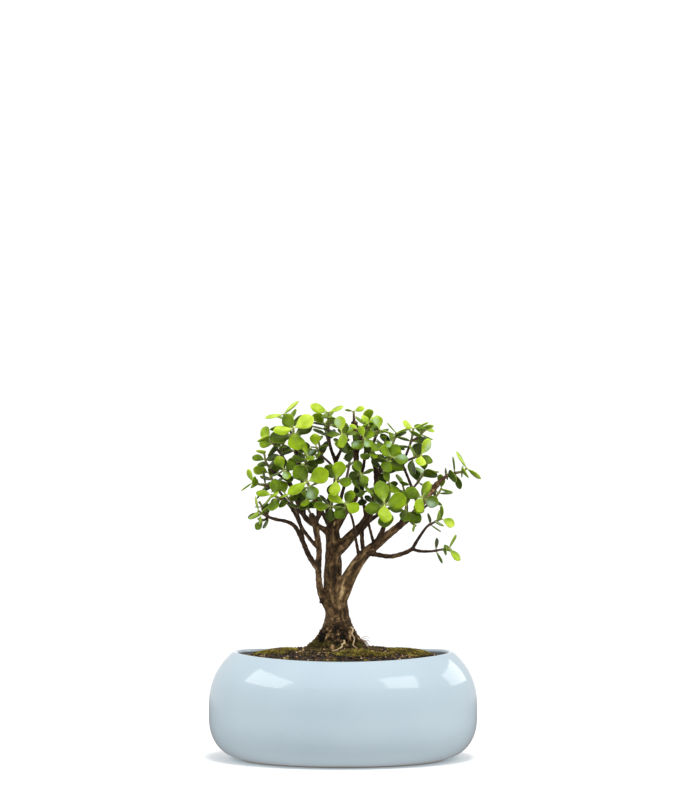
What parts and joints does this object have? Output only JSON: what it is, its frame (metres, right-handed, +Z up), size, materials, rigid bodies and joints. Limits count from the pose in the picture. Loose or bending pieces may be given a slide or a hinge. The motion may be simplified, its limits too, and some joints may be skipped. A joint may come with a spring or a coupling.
{
  "type": "bonsai tree",
  "caption": "Small jade bonsai with a flared trunk and round fleshy leaves, growing from mossy soil in a squat round glazed bowl that rests on its flat foot.",
  "frame": {"origin": "the middle of the bowl's flat foot", "axes": "+Z up along the bowl's axis, -Y towards the tree's front, +X to the right seen from the front"},
  "size_m": [0.2028, 0.2, 0.2664],
  "materials": {
    "glaze": "gloss",
    "soil": "matt",
    "moss": "matt",
    "bark": "matt",
    "foliage": "satin"
  },
  "bodies": {
    "root": {"bowl": "glaze", "moss_back": "moss", "moss_front": "moss", "moss_left": "moss", "moss_right": "moss", "shoot_back_far_left": "foliage", "shoot_back_far_right": "foliage", "shoot_back_left": "foliage", "shoot_back_low_left": "foliage", "shoot_back_low_right": "foliage", "shoot_back_middle": "foliage", "shoot_back_right": "foliage", "shoot_back_right_top": "foliage", "shoot_back_top_left": "foliage", "shoot_back_top_right": "foliage", "shoot_back_upper_left": "foliage", "shoot_centre_bright": "foliage", "shoot_core_high": "foliage", "shoot_core_left": "foliage", "shoot_core_low": "foliage", "shoot_core_riser": "foliage", "shoot_core_thin": "foliage", "shoot_core_upper": "foliage", "shoot_crown_right": "foliage", "shoot_crown_tip": "foliage", "shoot_front_left": "foliage", "shoot_front_low": "foliage", "shoot_front_right": "foliage", "shoot_inner_right_high": "foliage", "shoot_left_fore": "foliage", "shoot_left_inner_spur": "foliage", "shoot_left_long": "foliage", "shoot_left_low": "foliage", "shoot_left_low_inner": "foliage", "shoot_left_middle": "foliage", "shoot_left_middle_fore": "foliage", "shoot_left_upper": "foliage", "shoot_left_upright": "foliage", "shoot_limb_spur": "foliage", "shoot_low_right": "foliage", "shoot_low_up": "foliage", "shoot_middle_fore": "foliage", "shoot_middle_inner": "foliage", "shoot_middle_low_fore": "foliage", "shoot_middle_right_fore": "foliage", "shoot_right_back_low": "foliage", "shoot_right_fore": "foliage", "shoot_right_fore_low": "foliage", "shoot_right_inner": "foliage", "shoot_right_tip": "foliage", "shoot_right_upper": "foliage", "shoot_top_centre": "foliage", "shoot_top_fore": "foliage", "shoot_top_left": "foliage", "shoot_top_right": "foliage", "shoot_top_right_inner": "foliage", "shoot_upper_inner": "foliage", "shoot_upper_left_fore": "foliage", "soil": "soil", "trunk_and_branches": "bark"}
  },
  "joints": []
}
